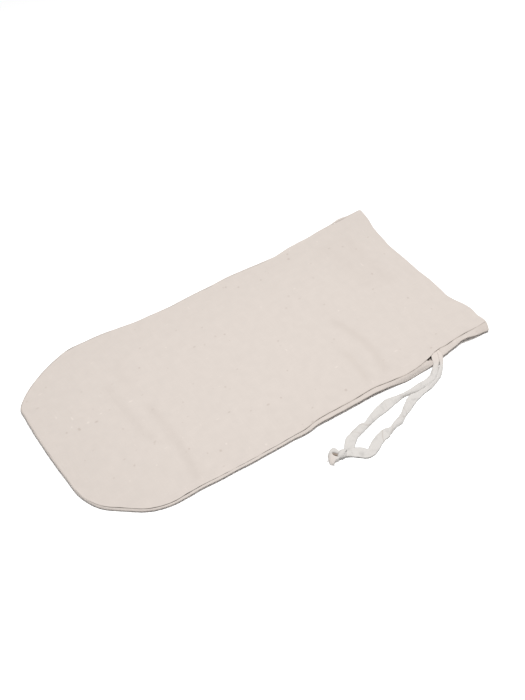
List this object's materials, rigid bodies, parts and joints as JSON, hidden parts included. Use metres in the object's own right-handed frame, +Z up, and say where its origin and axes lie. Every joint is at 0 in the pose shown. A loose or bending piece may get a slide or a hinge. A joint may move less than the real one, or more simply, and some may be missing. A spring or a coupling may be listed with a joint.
{
  "type": "lewis bag",
  "caption": "Flat canvas bag for crushing ice, with a rounded closed end, an open mouth and a tape drawstring that leaves the side seam and ends in a knot.",
  "frame": {"origin": "on the surface that the bag lies on, under the middle of the box of its two panels", "axes": "+X from the closed end to the mouth, +Y towards the side that has no drawstring, +Z up from the surface"},
  "size_m": [0.372, 0.2306, 0.0098],
  "materials": {
    "canvas": "matte natural cotton canvas with a few brown flecks",
    "tape": "matte off-white cotton tape"
  },
  "bodies": {
    "root": {"front_panel": "canvas", "back_panel": "canvas", "drawstring_left": "tape", "drawstring_right": "tape", "drawstring_knot": "tape"}
  },
  "joints": []
}
